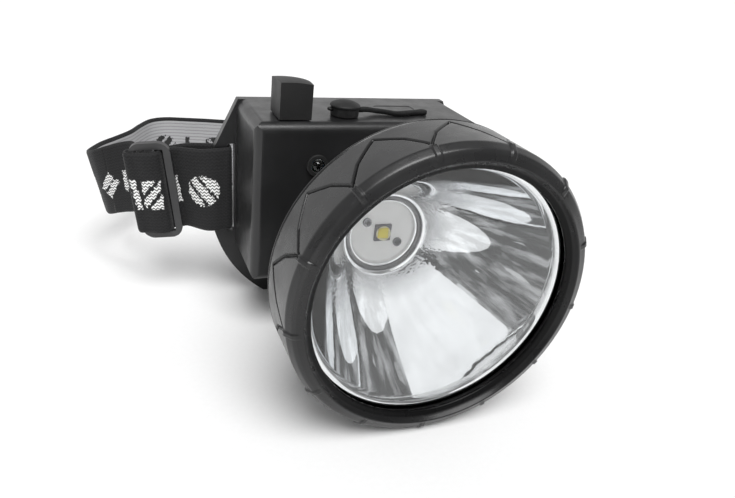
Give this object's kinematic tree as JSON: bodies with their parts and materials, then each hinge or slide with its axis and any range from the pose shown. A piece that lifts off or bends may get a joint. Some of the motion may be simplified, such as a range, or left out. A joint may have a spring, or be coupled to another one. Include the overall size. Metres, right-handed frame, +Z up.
{
  "type": "miner's cap lamp",
  "caption": "Battery cap lamp with a round reflector head under a screw-on ribbed bezel, a box housing with switch knob and charging plug on top, and an elastic head strap with a slider.",
  "frame": {"origin": "middle of the flat lower edge of the housing's strap plate, on the plane of its lowest edge", "axes": "+Z up, -Y the way the lamp shines, +Y towards the wearer's forehead, +X towards the wearer's left-hand side seen from the wearer, which is the right-hand side seen from the front"},
  "size_m": [0.1441, 0.1579, 0.0805],
  "materials": {
    "housing_plastic": "satin, fine moulded grain",
    "bezel_plastic": "satin, fine moulded grain",
    "barrel_plastic": "satin",
    "knob_plastic": "matte",
    "slider_plastic": "satin",
    "holder_plastic": "matte",
    "seal_rubber": "matte",
    "plug_rubber": "matte",
    "screw_steel": "satin",
    "cell_wrap": "glossy shrink wrap",
    "nickel_strip": "satin",
    "board_green": "solder mask",
    "component_black": "matte",
    "socket_metal": "plated",
    "indicator_glass": "clear resin",
    "sink_aluminium": "turned",
    "board_white": "white solder mask",
    "package_ceramic": "ceramic",
    "phosphor": "matte",
    "dome_silicone": "clear silicone",
    "wire_insulation": "satin",
    "mirror_coating": "polished",
    "lens_glass": "polished clear",
    "webbing": "knitted elastic, black outside with white pattern, light inside",
    "pad_fabric": "napped"
  },
  "bodies": {
    "lamp": {"housing": "housing_plastic", "rear_cover": "housing_plastic", "cover_seal": "seal_rubber", "cover_screws": "screw_steel", "forehead_pad": "pad_fabric", "battery_cells": "cell_wrap", "cell_holders": "holder_plastic", "cell_tabs": "nickel_strip", "circuit_board": "board_green", "board_components": "component_black", "switch_body": "component_black", "charge_socket": "socket_metal", "socket_pin": "socket_metal", "plug_tether": "plug_rubber", "indicator_ring": "knob_plastic", "indicator_led": "indicator_glass", "head_barrel": "barrel_plastic", "barrel_gasket": "seal_rubber", "barrel_screws": "screw_steel", "heat_sink": "sink_aluminium", "led_board": "board_white", "led_board_screws": "screw_steel", "led_package": "package_ceramic", "led_phosphor": "phosphor", "led_dome": "dome_silicone", "led_leads": "wire_insulation", "reflector": "mirror_coating", "lens": "lens_glass", "lens_gasket": "seal_rubber", "barrel_o_ring": "seal_rubber", "headband_outer_run": "webbing", "headband_inner_run": "webbing", "headband_loop": "webbing"},
    "bezel": {"bezel_ring": "bezel_plastic"},
    "knob": {"switch_shaft": "screw_steel", "switch_knob": "knob_plastic"},
    "plug": {"dust_plug": "plug_rubber"},
    "slider": {"strap_slider": "slider_plastic"}
  },
  "joints": [
    {"name": "bezel_turn", "type": "hinge", "parent": "lamp", "child": "bezel", "pos_m": [0, -0.07, 0.0405], "axis": [0, -1, 0], "range_deg": [0, 120]},
    {"name": "knob_turn", "type": "hinge", "parent": "lamp", "child": "knob", "pos_m": [-0.0235, -0.0199, 0.07], "axis": [0, 0, 1], "range_deg": [0, 90]},
    {"name": "plug_lift", "type": "slide", "parent": "lamp", "child": "plug", "axis": [0, 0, 1], "range_m": [0, 0.006], "deforming": ["plug_tether"]},
    {"name": "slider_slide", "type": "slide", "parent": "lamp", "child": "slider", "axis": [-0.9667, 0.2309, -0.11], "range_m": [-0.006, 0.003], "deforming": ["headband_outer_run", "headband_inner_run"]}
  ]
}
